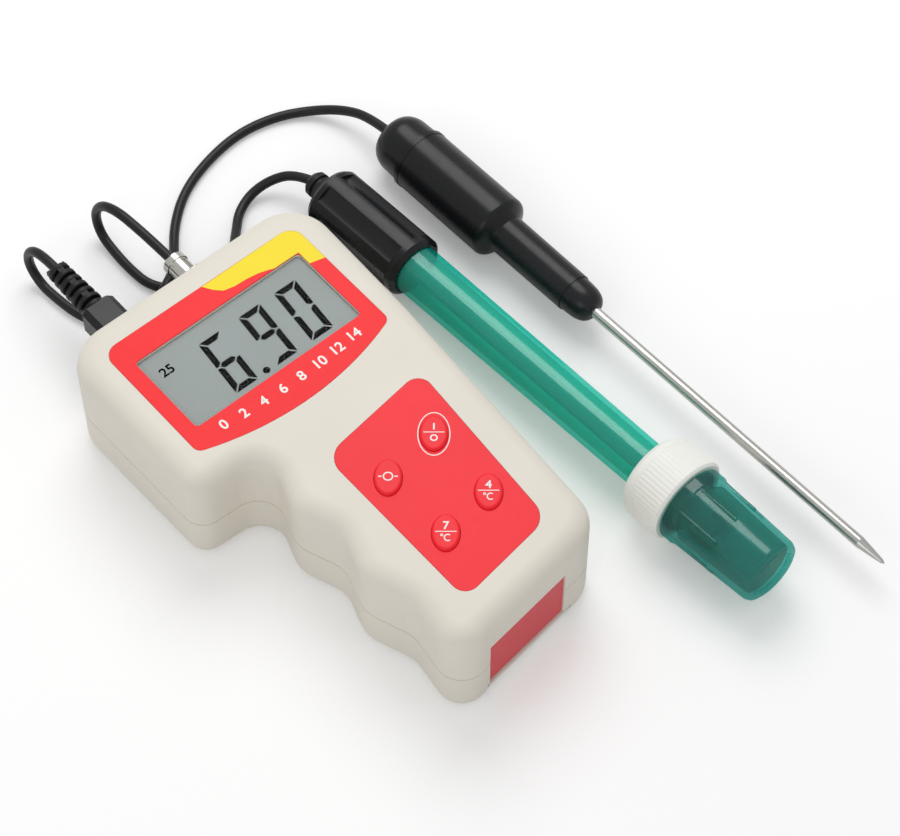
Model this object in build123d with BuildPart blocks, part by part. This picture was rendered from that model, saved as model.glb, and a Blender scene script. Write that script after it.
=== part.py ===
from build123d import *
from math import atan, cos, degrees, pi, radians, sin, tan
import os

# Millimetres. +Z up, +Y towards the connector end, +X to the right of the display.
# The origin is on the surface that the meter lies on, under the middle of its length.

# Case
body_length = 128.0
body_width = 75.6
body_height = 33.0
head_length = 54.0  # the wide part that holds the display
wall = 2.2
parting_z = 14.3
top_round = 5.0
bottom_round = 4.0
far_y = 0.5 * body_length
near_y = -far_y
head_y = far_y - head_length
near_slope = 0.12  # the hand end runs askew by this much
lip_height = 1.5
lip_inset = 1.2
lip_gap = 0.1
seam = 0.2

# Display
window_length = 50.8
window_width = 24.4
window_y = far_y - 27.9
label_half_width = 29.5
label_top = far_y - 8.3
label_bottom = far_y - 45.6
label_sag = 5.4  # how far the label's lower edge bows out
label_thickness = 0.35
label_recess = 0.3
lens_thickness = 0.8
lcd_thickness = 2.2
frame_wall = 3.4
seat_gap = 0.2

# Keypad
keypad_corners = [(-7.3, -2.4), (25.2, 1.8), (21.1, -49.0), (-7.4, -52.8)]
keypad_rounds = [6.0, 3.6, 6.0, 3.6]
keypad_thickness = 0.6
key_places = {"power": (16.2, -14.1), "cal": (0.0, -16.5), "four": (15.4, -34.8), "seven": (0.5, -36.8)}
key_half_width = 3.4
key_half_length = 5.0
key_turn = -40.6  # the long axis of each key, turned from +Y
key_gap = 0.1
key_flange = 0.9
key_proud = 0.8

# Board and what is on it
board_thickness = 1.6
board_drop = 9.4  # from the top face to the board's upper side
switch_size = 6.0
switch_height = 3.4
plunger_radius = 1.6
plunger_gap = 0.1
post_radius = 2.3
screw_radius = 1.1
screw_head_radius = 2.0
screw_head = 1.0

# Battery bay
battery_size = (26.5, 46.4, 17.5)
battery_x = 6.6
battery_near = near_y + 11.0
battery_floor = 1.0
terminal_height = 2.1
terminal_spacing = 12.7
door_width = 28.6
door_length = 62.0
door_skirt = 4.4
door_gap = 0.3
tongue = 0.8
boss_radius = 3.0
case_screw_radius = 1.4
case_screw_head = 2.6

# Connectors
connector_z = 0.5 * body_height
bnc_x = 6.7
pocket_depth = 9.0
pocket_gap = 2.75
pocket_wall = 1.8
barrel_radius = 4.8
barrel_length = 10.5
jack_tail = 3.3  # behind the panel
barrel_wall = 0.7
lug_height = 0.6
panel_gap = 0.1
coupling_wall = 1.45
lug_gap = 0.4
coupling_gap = 0.08
plug_body_radius = 3.25
plug_end_y = far_y + 13.1
jack_x = -17.3
jack_bore = 1.8
pin_gap = 0.05
housing_size = 9.4
housing_end_y = far_y + 13.0
relief_end_y = far_y + 30.5
relief_radii = (3.6, 2.9)
relief_rings = 6

# Leads
lead_radius = 1.3
hank_half_length = 17.4
hank_half_width = 6.8
hank_waist = 2.9
hank_height = 8.0
hank_y = far_y + 7.2
probe_hank_x = -7.9
electrode_hank_x = 27.4

# Electrode, along its own axis from the lead boot to the foot of its bottle
electrode_start = (53.5, 78.6)
electrode_yaw = 2.3
boot_radius = 4.2
boot_length = 6.5
cap_radius = 8.6
cap_end = 40.0
flute_radius = 8.0
flute_depth = 0.8
tube_radii = (6.8, 6.15)
tube_wall = 1.2
tube_end = 149.0
stem_radius = 2.4
bulb_radius = 3.9
nut_start = 124.0
nut_shoulder = 3.5
nut_radius = 11.5
nut_length = 13.3
nut_running_gap = 0.3
bottle_radii = (9.8, 8.9)
bottle_wall = 1.5
bottle_neck = 8.7
flange_radius = 10.2
flange_length = 3.4
bottle_length = 24.5  # beyond its flange
bottle_ribs = 8

# Temperature probe, along its own axis from the lead boot to the tip
probe_start = (78.9, 78.2)
probe_yaw = 1.73
handle_radius = 8.7
handle_lip = 0.15
handle_cap_length = 13.2
handle_length = 28.5
handle_curve = 3.0
neck_radius = 5.45
neck_end = 71.0
nose_end = 79.0
rod_radius = 1.5
rod_wall = 0.4
rod_end = 179.0

top_z = body_height
inner_top = body_height - wall
board_top = body_height - board_drop
board_bottom = board_top - board_thickness
barrel_bore = barrel_radius - barrel_wall
lug_radius = barrel_radius + lug_height
coupling_bore = lug_radius + lug_gap
coupling_radius = coupling_bore + coupling_wall
pocket_radius = coupling_radius + pocket_gap

os.makedirs("parts", exist_ok=True)
pieces = []


def keep(piece, label):
    """Labels a finished piece and puts it on the list that is written at the end."""
    piece.part.label = label
    pieces.append(piece.part)
    return piece


def case_outline():
    """The plan of the case: a wide head, a hollow for the thumb side, and a gripped handle."""
    half = 0.5 * body_width
    grip = (head_y + 6.0 - near_y) / 7.3
    points = [
        (-half, far_y, 12.0),
        (half, far_y, 12.0),
        (half - 1.4, head_y + 10.0, 90.0),
        (half - 6.4, near_y + 6.8, 10.0),
        (-8.0, near_y + 2.0, 10.0),
        (-18.9, near_y - 1.0, 6.6),
        (-16.2, near_y + 1.75 * grip, 9.5),
        (-20.9, near_y + 2.90 * grip, 9.5),
        (-16.8, near_y + 4.00 * grip, 9.5),
        (-21.6, near_y + 5.10 * grip, 9.5),
        (-15.6, head_y - 0.6, 7.0),
        (0.9 - half, head_y + 0.2, 5.6),
    ]
    return FilletPolyline(*[(x, y) for x, y, _ in points], radius=[r for _, _, r in points], close=True)


def label_outline(grow=0.0):
    """The display label: straight sides and a bowed lower edge."""
    side = label_half_width + grow
    Line((-side, label_bottom), (-side, label_top + grow))
    Line((-side, label_top + grow), (side, label_top + grow))
    Line((side, label_top + grow), (side, label_bottom))
    ThreePointArc((side, label_bottom), (0, label_bottom - label_sag - grow), (-side, label_bottom))


def key_plane(name, height):
    """A level plane at one key, turned so that its Y is the key's long axis."""
    x, y = key_places[name]
    turn = radians(key_turn)
    return Plane(origin=(x, y, height), x_dir=(cos(turn), sin(turn), 0), z_dir=(0, 0, 1))


def across(x, y, height=connector_z):
    """A plane that faces the connector end, with its Y up."""
    return Plane(origin=(x, y, height), x_dir=(-1, 0, 0), z_dir=(0, 1, 0))


def screw(plane, radius, head_radius, head, length):
    """One pan-head screw that runs along the plane's axis from its head."""
    with BuildPart(plane) as one:
        Cylinder(head_radius, head, align=(Align.CENTER, Align.CENTER, Align.MAX))
        Cylinder(radius, length, align=(Align.CENTER, Align.CENTER, Align.MIN))
        with BuildSketch(plane.offset(-head)):
            Rectangle(1.4 * head_radius, 0.4)
            Rectangle(0.4, 1.4 * head_radius)
        extrude(amount=0.5 * head, mode=Mode.SUBTRACT)
    return one.part


# Case: one solid outer form, hollowed and split at the parting plane
with BuildPart() as outer_form:
    with BuildSketch():
        with BuildLine():
            case_outline()
        make_face()
    extrude(amount=body_height)
    fillet(outer_form.faces().sort_by(Axis.Z)[-1].edges(), top_round)
    fillet(outer_form.faces().sort_by(Axis.Z)[0].edges(), bottom_round)

boss_places = [
    (-0.5 * body_width + 9.0, far_y - 8.6),
    (0.5 * body_width - 9.0, far_y - 8.6),
    (0.5 * body_width - 11.2, near_y + 15.0),
    (-11.6, near_y + 7.2),
]
post_places = [
    (-0.5 * body_width + 6.2, far_y - 19.5),
    (0.5 * body_width - 6.2, far_y - 19.5),
    (-0.5 * body_width + 6.8, head_y + 6.6),
    (0.5 * body_width - 7.6, head_y + 6.6),
    (8.0, -25.5),
]
end_face = near_y + 2.0
end_angle = degrees(atan(near_slope))
end_label_size = (26.0, 17.0)
end_label_recess = 0.9
end_label_plane = Plane(
    origin=(5.6, end_face + near_slope * 13.6, 13.3), x_dir=(1, near_slope, 0), z_dir=(near_slope, -1, 0)
)
door_x = battery_x
door_far = near_y + door_length

with BuildPart() as hollow:
    with BuildSketch(Plane.XY.offset(wall)):
        with BuildLine():
            case_outline()
        make_face()
        offset(amount=-wall, kind=Kind.ARC)
    extrude(amount=body_height - 2 * wall)

with BuildPart() as lip_ring:
    with BuildSketch(Plane.XY.offset(parting_z)):
        with BuildLine():
            case_outline()
        make_face()
        offset(amount=-lip_inset, kind=Kind.ARC)
    extrude(amount=lip_height)

with BuildPart() as lip_seat:
    with BuildSketch(Plane.XY.offset(parting_z)):
        with BuildLine():
            case_outline()
        make_face()
        offset(amount=-(lip_inset - lip_gap), kind=Kind.ARC)
    extrude(amount=lip_height + lip_gap)

with BuildPart() as seam_core:
    with BuildSketch(Plane.XY.offset(parting_z - seam)):
        with BuildLine():
            case_outline()
        make_face()
        offset(amount=-seam, kind=Kind.ARC)
    extrude(amount=2 * seam)

with BuildPart() as seam_ring:
    with BuildSketch(Plane.XY.offset(parting_z - seam)):
        Rectangle(2 * body_width, 2 * body_length)
    extrude(amount=2 * seam)
    add(seam_core.part, mode=Mode.SUBTRACT)

with BuildPart() as pocket_cup:
    with BuildSketch(across(bnc_x, far_y - pocket_depth - wall)):
        Circle(pocket_radius + pocket_wall)
    extrude(amount=pocket_depth + 0.6 * wall)

with BuildPart() as connector_holes:
    with BuildSketch(across(bnc_x, far_y - pocket_depth)):
        Circle(pocket_radius)
    extrude(amount=2 * pocket_depth)
    with BuildSketch(across(bnc_x, far_y - pocket_depth - 2 * wall)):
        Circle(barrel_radius + panel_gap)
    extrude(amount=3 * wall)
    with BuildSketch(across(jack_x, far_y - 2 * wall)):
        Circle(3.0 + panel_gap)
    extrude(amount=4 * wall)

with BuildPart() as top_shell:
    add(outer_form.part)
    add(hollow.part, mode=Mode.SUBTRACT)
    split(bisect_by=Plane.XY.offset(parting_z), keep=Keep.TOP)
    add(pocket_cup.part)
    for x, y in boss_places:
        with BuildSketch(Plane((x, y, parting_z + lip_height))):
            Circle(boss_radius)
        extrude(amount=inner_top - parting_z - lip_height)
    for x, y in post_places:
        with BuildSketch(Plane((x, y, board_top))):
            Circle(post_radius)
        extrude(amount=inner_top - board_top)
    split(bisect_by=Plane.XY.offset(parting_z), keep=Keep.TOP)
    add(lip_seat.part - hollow.part, mode=Mode.SUBTRACT)
    add(seam_ring.part, mode=Mode.SUBTRACT)
    add(connector_holes.part, mode=Mode.SUBTRACT)
    with BuildSketch(Plane.XY.offset(top_z - label_recess)):
        with BuildLine():
            label_outline(0.1)
        make_face()
        fillet(vertices().sort_by(Axis.Y)[-2:], 4.0)
        fillet(vertices().sort_by(Axis.Y)[:2], 2.4)
    extrude(amount=label_recess + 1, mode=Mode.SUBTRACT)
    with BuildSketch(Plane.XY.offset(inner_top - 1)):
        with Locations((0, window_y)):
            RectangleRounded(window_length, window_width, 1.2)
    extrude(amount=wall + 2, mode=Mode.SUBTRACT)
    with BuildSketch(Plane.XY.offset(top_z - keypad_thickness)):
        with BuildLine():
            FilletPolyline(*keypad_corners, radius=keypad_rounds, close=True)
        make_face()
        offset(amount=0.1)
    extrude(amount=keypad_thickness + 1, mode=Mode.SUBTRACT)
    for name in key_places:
        with BuildSketch(key_plane(name, inner_top - 1)):
            Ellipse(key_half_width + key_gap, key_half_length + key_gap)
        extrude(amount=wall + 2, mode=Mode.SUBTRACT)
    for x, y in post_places:
        with Locations(Plane((x, y, board_top), z_dir=(0, 0, -1))):
            Hole(screw_radius, depth=5.0)
    for x, y in boss_places:
        with Locations(Plane((x, y, parting_z + lip_height), z_dir=(0, 0, -1))):
            Hole(case_screw_radius, depth=8.0)
    with BuildSketch(end_label_plane.offset(-end_label_recess)):
        Rectangle(end_label_size[0] + 0.2, end_label_size[1] + 0.2)
    extrude(amount=3, mode=Mode.SUBTRACT)
keep(top_shell, "top_shell")

with BuildPart() as door_space:
    with BuildSketch():
        with Locations((door_x, near_y - 10)):
            Rectangle(door_width + 2 * door_gap, door_length + 10 + door_gap, align=(Align.CENTER, Align.MIN))
    extrude(amount=door_skirt + door_gap)

with BuildPart() as tongue_slots:
    with BuildSketch(Plane.XY.offset(0.65)):
        with Locations((door_x, near_y - 10)):
            Rectangle(door_width + 2 * (tongue + door_gap), door_length + 6, align=(Align.CENTER, Align.MIN))
    extrude(amount=1.3)

with BuildPart() as bottom_shell:
    add(outer_form.part)
    add(hollow.part, mode=Mode.SUBTRACT)
    split(bisect_by=Plane.XY.offset(parting_z), keep=Keep.BOTTOM)
    add(lip_ring.part - hollow.part)
    add(pocket_cup.part)
    for x, y in boss_places:
        with BuildSketch(Plane((x, y, 0.5 * wall))):
            Circle(boss_radius + 1.2)
        extrude(amount=parting_z - 0.5 * wall)
        with BuildSketch(Plane((x, y, 0.5 * wall))):
            Circle(boss_radius - 0.3)
        extrude(amount=parting_z + lip_height - 0.5 * wall)
    add(outer_form.part, mode=Mode.INTERSECT)
    add(seam_ring.part, mode=Mode.SUBTRACT)
    with BuildSketch(Plane.XY.offset(parting_z)):
        with Locations((bnc_x, far_y - pocket_depth - wall)):
            Rectangle(2 * (pocket_radius + pocket_wall + 1), 2 * wall + 2 * pocket_depth)
    extrude(amount=body_height, mode=Mode.SUBTRACT)
    add(connector_holes.part, mode=Mode.SUBTRACT)
    add(door_space.part, mode=Mode.SUBTRACT)
    add(tongue_slots.part, mode=Mode.SUBTRACT)
    for x, y in boss_places:
        with Locations(Plane((x, y, 0), z_dir=(0, 0, -1))):
            CounterBoreHole(case_screw_radius + 0.15, case_screw_head + 0.2, 3.0, depth=body_height)
    with BuildSketch(end_label_plane.offset(-end_label_recess)):
        Rectangle(end_label_size[0] + 0.2, end_label_size[1] + 0.2)
    extrude(amount=3, mode=Mode.SUBTRACT)
keep(bottom_shell, "bottom_shell")


def axis_plane(start, yaw, rise):
    """A plane whose X runs from start at a yaw from -Y (towards +X) with a rise, and whose Y is up."""
    direction = Vector(sin(radians(yaw)), -cos(radians(yaw)), rise).normalized()
    return Plane(origin=start, x_dir=direction, z_dir=direction.cross(Vector(0, 0, 1)))


def turned(plane, points):
    """A body turned about the plane's X axis from (place, radius) points."""
    with BuildPart() as body:
        with BuildSketch(plane):
            with BuildLine():
                Polyline(*points, close=True)
            make_face()
        revolve(axis=Axis(plane.origin, plane.x_dir))
    return body.part


def sleeve(plane, start, end, outer, inner=0.0):
    """A plain round sleeve or rod about the plane's X axis."""
    return turned(plane, [(start, inner), (start, outer), (end, outer), (end, inner)])


def station(plane, place):
    """A plane square to the axis at one place, with its Y up."""
    return Plane(origin=plane.from_local_coords((place, 0, 0)), x_dir=-plane.z_dir, z_dir=plane.x_dir)


# Labels
with BuildPart() as display_label:
    with BuildSketch(Plane.XY.offset(top_z - label_recess)):
        with BuildLine():
            label_outline()
        make_face()
        fillet(vertices().sort_by(Axis.Y)[-2:], 4.0)
        fillet(vertices().sort_by(Axis.Y)[:2], 2.4)
        with Locations((0, window_y)):
            RectangleRounded(window_length, window_width, 1.2, mode=Mode.SUBTRACT)
    extrude(amount=label_thickness)
keep(display_label, "display_label")

with BuildPart() as keypad_overlay:
    with BuildSketch(Plane.XY.offset(top_z - keypad_thickness)):
        with BuildLine():
            FilletPolyline(*keypad_corners, radius=keypad_rounds, close=True)
        make_face()
    extrude(amount=keypad_thickness)
    for name in key_places:
        with BuildSketch(key_plane(name, top_z - 2 * keypad_thickness)):
            Ellipse(key_half_width + key_gap, key_half_length + key_gap)
        extrude(amount=2 * keypad_thickness, mode=Mode.SUBTRACT)
keep(keypad_overlay, "keypad_overlay")

with BuildPart() as end_label:
    with BuildSketch(end_label_plane.offset(-end_label_recess)):
        Rectangle(*end_label_size)
        fillet(vertices(), 1.0)
    extrude(amount=0.35)
keep(end_label, "end_label")

# Display stack: pane, glass, frame and contact strips
pane_bottom = top_z - label_recess - lens_thickness
glass_bottom = pane_bottom - lcd_thickness
glass_size = (window_length - 2 * seat_gap, window_width - 2 * seat_gap)

with BuildPart() as display_lens:
    with BuildSketch(Plane.XY.offset(pane_bottom)):
        with Locations((0, window_y)):
            RectangleRounded(window_length - seat_gap, window_width - seat_gap, 1.1)
    extrude(amount=lens_thickness)
keep(display_lens, "display_lens")

with BuildPart() as lcd_glass:
    with BuildSketch(Plane.XY.offset(glass_bottom)):
        with Locations((0, window_y)):
            Rectangle(*glass_size)
    extrude(amount=lcd_thickness)
    fillet(lcd_glass.edges().filter_by(Axis.Z), 0.5)
keep(lcd_glass, "lcd_glass")

with BuildPart() as lcd_frame:
    with BuildSketch(Plane.XY.offset(board_top)):
        with Locations((0, window_y)):
            RectangleRounded(glass_size[0] + 2 * frame_wall, glass_size[1] + 2 * frame_wall, 1.0)
            Rectangle(glass_size[0] - 2.4, glass_size[1] + seat_gap, mode=Mode.SUBTRACT)
    extrude(amount=inner_top - board_top - 0.1)
    with BuildSketch(Plane.XY.offset(glass_bottom)):
        with Locations((0, window_y)):
            Rectangle(glass_size[0] + seat_gap, glass_size[1] + seat_gap)
    extrude(amount=2 * lcd_thickness, mode=Mode.SUBTRACT)
keep(lcd_frame, "lcd_frame")

with BuildPart() as zebra_strips:
    with BuildSketch(Plane.XY.offset(board_top)):
        with Locations((0, window_y - 0.5 * glass_size[1] + 1.0), (0, window_y + 0.5 * glass_size[1] - 1.0)):
            Rectangle(glass_size[0] - 2.8, 2.0)
    extrude(amount=glass_bottom - board_top)
keep(zebra_strips, "zebra_strips")

# Board
board_far = far_y - pocket_depth - wall - jack_tail - 0.1
board_near = min(y for _, y in key_places.values()) - 0.5 * switch_size - 0.2
with BuildPart() as main_board:
    with BuildSketch(Plane.XY.offset(board_bottom)):
        with Locations((0, head_y + wall + 0.8)):
            Rectangle(body_width - 9.6, board_far - head_y - wall - 0.8, align=(Align.CENTER, Align.MIN))
        with Locations((9.0, board_near)):
            Rectangle(37.0, head_y + 6.0 - board_near, align=(Align.CENTER, Align.MIN))
        fillet(vertices(), 1.5)
        with Locations(*boss_places):
            Circle(boss_radius + 0.5, mode=Mode.SUBTRACT)
    extrude(amount=board_thickness)
    for x, y in post_places:
        with Locations((x, y, board_top)):
            Hole(screw_radius + 0.15)
keep(main_board, "main_board")

with BuildPart() as main_chip:
    with Locations((-4, window_y, board_bottom)):
        Box(14, 14, 1.4, align=(Align.CENTER, Align.CENTER, Align.MAX))
    chamfer(main_chip.faces().sort_by(Axis.Z)[0].edges(), 0.3)
keep(main_chip, "main_chip")

with BuildPart() as board_parts:
    with Locations((16, window_y + 6, board_bottom)):
        Cylinder(3.2, 5.4, align=(Align.CENTER, Align.CENTER, Align.MAX))
    with Locations((16, window_y - 5, board_bottom)):
        Cylinder(2.5, 5.4, align=(Align.CENTER, Align.CENTER, Align.MAX))
    with Locations((-20, window_y + 2, board_bottom)):
        Box(5, 11, 3.6, align=(Align.CENTER, Align.CENTER, Align.MAX))
    with Locations((-4, window_y - 15, board_bottom), (6, window_y - 15, board_bottom)):
        Box(5, 4, 1.5, align=(Align.CENTER, Align.CENTER, Align.MAX))
    with Locations((24.5, window_y + 8, board_bottom)):
        Box(4, 9, 6, align=(Align.CENTER, Align.CENTER, Align.MAX))
keep(board_parts, "board_parts")

with BuildPart() as board_screws:
    for x, y in post_places:
        with Locations((x, y, board_bottom)):
            add(screw(Plane.XY, screw_radius, screw_head_radius, screw_head, board_thickness + 4.4))
keep(board_screws, "board_screws")

with BuildPart() as case_screws:
    for x, y in boss_places:
        with Locations((x, y, 3.0)):
            add(screw(Plane.XY, case_screw_radius, case_screw_head, 1.8, parting_z + lip_height + 3.5))
keep(case_screws, "case_screws")

# Keys, each over its own switch
flange_top = inner_top - 0.3
flange_bottom = flange_top - 1.1
plunger_top = flange_bottom - 0.8
with BuildPart() as switch_bodies:
    for name in key_places:
        with BuildSketch(key_plane(name, board_top)):
            RectangleRounded(switch_size, switch_size, 0.6)
        extrude(amount=switch_height)
        with BuildSketch(key_plane(name, board_top + 1.2)):
            Circle(plunger_radius + plunger_gap)
        extrude(amount=switch_height, mode=Mode.SUBTRACT)
keep(switch_bodies, "switch_bodies")

for name in key_places:
    with BuildPart() as plunger:
        with BuildSketch(key_plane(name, board_top + 2.0)):
            Circle(plunger_radius)
        extrude(amount=plunger_top - board_top - 2.0)
    keep(plunger, f"plunger_{name}")
    with BuildPart() as key:
        with BuildSketch(key_plane(name, plunger_top)):
            Circle(plunger_radius)
        extrude(amount=flange_bottom - plunger_top)
        with BuildSketch(key_plane(name, flange_bottom)):
            Ellipse(key_half_width + key_flange, key_half_length + key_flange)
        extrude(amount=flange_top - flange_bottom)
        with BuildSketch(key_plane(name, flange_top)):
            Ellipse(key_half_width, key_half_length)
        extrude(amount=top_z + key_proud - flange_top)
        fillet(key.faces().sort_by(Axis.Z)[-1].edges(), 0.9 * key_proud)
    keep(key, f"key_{name}")

# Battery, its contacts and the door
battery_bottom = wall + battery_floor
battery_far = battery_near + battery_size[1]
contact_y = battery_far + terminal_height
battery_mid = battery_bottom + 0.5 * battery_size[2]
with BuildPart() as battery:
    with Locations((battery_x, battery_near, battery_bottom)):
        Box(battery_size[0], battery_size[1], battery_size[2], align=(Align.CENTER, Align.MIN, Align.MIN))
    fillet(battery.edges().filter_by(Axis.Y), 2.6)
    with BuildSketch(across(battery_x, battery_far, battery_mid)):
        with Locations((-0.5 * terminal_spacing, 0)):
            Circle(2.9)
        with Locations((0.5 * terminal_spacing, 0)):
            RegularPolygon(4.2, 6)
    extrude(amount=terminal_height)
keep(battery, "battery")

block_depth = 4.4
block_base = 8.0
with BuildPart() as contact_block:
    with Locations((battery_x, contact_y + 0.4, block_base)):
        Box(24, block_depth, board_bottom - block_base, align=(Align.CENTER, Align.MIN, Align.MIN))
    with Locations((battery_x - 0.5 * terminal_spacing, contact_y + 2.4, block_base)):
        Cylinder(0.55, body_height, align=(Align.CENTER, Align.CENTER, Align.MIN), mode=Mode.SUBTRACT)
    with Locations((battery_x + 0.5 * terminal_spacing, contact_y + 2.4, block_base)):
        Cylinder(0.55, body_height, align=(Align.CENTER, Align.CENTER, Align.MIN), mode=Mode.SUBTRACT)
keep(contact_block, "contact_block")

with BuildPart() as battery_contacts:
    for side in (-1, 1):
        x = battery_x + 0.5 * side * terminal_spacing
        with Locations((x, contact_y, block_base - 0.4)):
            Box(6.0, 0.4, 9.0, align=(Align.CENTER, Align.MIN, Align.MIN))
        with Locations((x, contact_y, block_base)):
            Box(1.0, 2.9, 0.4, align=(Align.CENTER, Align.MIN, Align.MAX))
        with Locations((x, contact_y + 2.4, block_base - 0.4)):
            Cylinder(0.5, board_bottom - block_base + 0.4, align=(Align.CENTER, Align.CENTER, Align.MIN))
keep(battery_contacts, "battery_contacts")

with BuildPart() as battery_door:
    add(outer_form.part)
    with BuildPart(mode=Mode.INTERSECT):
        with Locations((door_x, near_y - 10, 0)):
            Box(door_width, door_length + 10, door_skirt, align=(Align.CENTER, Align.MIN, Align.MIN))
    add(hollow.part, mode=Mode.SUBTRACT)
    with Locations((door_x, near_y + 12, 0.95)):
        Box(door_width + 2 * tongue, 36, 0.7, align=(Align.CENTER, Align.MIN, Align.MIN))
    with BuildSketch():
        with Locations(*[(door_x + 3 * place, near_y + 14) for place in range(-2, 3)]):
            SlotOverall(8, 1.2, rotation=90)
    extrude(amount=0.5, mode=Mode.SUBTRACT)
keep(battery_door, "battery_door")

with BuildPart() as battery_foam:
    with Locations((battery_x, battery_near + 4, wall)):
        Box(20, 34, battery_floor - 0.3, align=(Align.CENTER, Align.MIN, Align.MIN))
keep(battery_foam, "battery_foam")

# BNC jack and plug, about an axis along +Y
bnc_axis = Plane(origin=(bnc_x, 0, connector_z), x_dir=(0, 1, 0), z_dir=(1, 0, 0))
panel_out = far_y - pocket_depth
panel_in = panel_out - wall
barrel_end = panel_out + barrel_length
jack_back = panel_in - jack_tail
insulator_radius = 2.4
contact_radius = 1.1
flange_end = panel_out + 1.2
bore_start = panel_out + 3.0
skirt_radius = barrel_bore - 0.1
with BuildPart() as bnc_jack:
    profile = [
        (jack_back, insulator_radius),
        (jack_back, barrel_radius),
        (panel_out, barrel_radius),
        (panel_out, barrel_radius + 1.95),
        (flange_end, barrel_radius + 1.95),
        (flange_end, barrel_radius),
        (barrel_end - 0.4, barrel_radius),
        (barrel_end, barrel_radius - 0.4),
        (barrel_end, barrel_bore),
        (bore_start, barrel_bore),
        (bore_start, insulator_radius),
    ]
    add(turned(bnc_axis, profile))
    with Locations(Plane((bnc_x, bore_start + 2.6, connector_z), z_dir=(1, 0, 0))):
        Cylinder(0.9, 2 * lug_radius)
    with Locations(Plane((bnc_x, bore_start - 1, connector_z), x_dir=(1, 0, 0), z_dir=(0, 1, 0))):
        Cylinder(barrel_bore, 6, align=(Align.CENTER, Align.CENTER, Align.MIN), mode=Mode.SUBTRACT)
        Cylinder(insulator_radius, 6, align=(Align.CENTER, Align.CENTER, Align.MAX), mode=Mode.SUBTRACT)
keep(bnc_jack, "bnc_jack")

with BuildPart() as bnc_jack_insulator:
    add(sleeve(bnc_axis, jack_back - 0.6, barrel_end - 1.0, insulator_radius, contact_radius))
keep(bnc_jack_insulator, "bnc_jack_insulator")

pin_start = panel_out + 1.0
with BuildPart() as bnc_jack_contact:
    add(sleeve(bnc_axis, jack_back - 3.0, barrel_end - 1.1, contact_radius))
    add(sleeve(bnc_axis, pin_start - 0.4, barrel_end, contact_radius - 0.35), mode=Mode.SUBTRACT)
    with Locations((bnc_x, jack_back - 2.6, connector_z)):
        Box(1.6, 0.8, board_bottom - connector_z, align=(Align.CENTER, Align.MIN, Align.MIN))
keep(bnc_jack_contact, "bnc_jack_contact")

with BuildPart() as bnc_jack_nut:
    with BuildSketch(across(bnc_x, panel_in)):
        RegularPolygon(barrel_radius + 1.6, 6)
        Circle(barrel_radius, mode=Mode.SUBTRACT)
    extrude(amount=-2.4)
keep(bnc_jack_nut, "bnc_jack_nut")

web_y = barrel_end + 1.1
coupling_start = panel_out + 2.2
coupling_end = web_y + 1.5
web_bore = plug_body_radius + 0.2 + coupling_gap
with BuildPart() as bnc_plug:
    profile = [
        (bore_start + 0.4, insulator_radius + 0.2),
        (bore_start + 0.4, skirt_radius),
        (barrel_end + 0.1, skirt_radius),
        (barrel_end + 0.1, coupling_bore - 0.25),
        (web_y - coupling_gap, coupling_bore - 0.25),
        (web_y - coupling_gap, plug_body_radius + 0.2),
        (coupling_end + 0.3, plug_body_radius + 0.2),
        (coupling_end + 0.3, plug_body_radius - 0.3),
        (plug_end_y - 2.2, plug_body_radius - 0.3),
        (plug_end_y - 2.2, plug_body_radius),
        (plug_end_y - 0.5, plug_body_radius),
        (plug_end_y, plug_body_radius - 0.5),
        (plug_end_y, 0),
        (barrel_end + 2.5, 0),
        (barrel_end + 2.5, insulator_radius + 0.2),
    ]
    add(turned(bnc_axis, profile))
    add(sleeve(bnc_axis, barrel_end, plug_end_y - 3.0, 0.7), mode=Mode.SUBTRACT)
    with BuildSketch(across(bnc_x, coupling_end + 1.8)):
        with PolarLocations(plug_body_radius - 0.3, 6):
            Rectangle(0.9, 1.3)
    extrude(amount=plug_end_y - coupling_end - 4.6, mode=Mode.SUBTRACT)
keep(bnc_plug, "bnc_plug")

with BuildPart() as bnc_plug_pin:
    profile = [
        (pin_start + 0.6, 0),
        (pin_start + 0.6, 0.35),
        (pin_start + 1.0, 0.7),
        (plug_end_y - 3.0, 0.7),
        (plug_end_y - 3.0, 0),
    ]
    add(turned(bnc_axis, profile))
keep(bnc_plug_pin, "bnc_plug_pin")

with BuildPart() as bnc_coupling:
    profile = [
        (coupling_start, coupling_bore),
        (coupling_start, coupling_radius - 0.4),
        (coupling_start + 0.4, coupling_radius),
        (coupling_end - 0.5, coupling_radius),
        (coupling_end, coupling_radius - 0.5),
        (coupling_end, web_bore),
        (web_y, web_bore),
        (web_y, coupling_bore),
    ]
    add(turned(bnc_axis, profile))
    with BuildSketch(across(bnc_x, coupling_start + 3.0)):
        with PolarLocations(coupling_radius + 0.1, 24):
            Circle(0.45)
    extrude(amount=coupling_end - coupling_start - 4.0, mode=Mode.SUBTRACT)
keep(bnc_coupling, "bnc_coupling")

# Temperature jack and plug
jack_axis = Plane(origin=(jack_x, 0, connector_z), x_dir=(0, 1, 0), z_dir=(1, 0, 0))
bush_end = far_y + 0.6
pin_length = 14.0
with BuildPart() as probe_jack:
    with Locations((jack_x, far_y - wall, connector_z - 4.2)):
        Box(8.4, 14.2, board_bottom - connector_z + 4.2, align=(Align.CENTER, Align.MAX, Align.MIN))
    add(sleeve(jack_axis, far_y - wall - 1, bush_end, 3.0))
    add(sleeve(jack_axis, bush_end - pin_length - 1.0, bush_end + 1, jack_bore), mode=Mode.SUBTRACT)
keep(probe_jack, "probe_jack")

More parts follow.
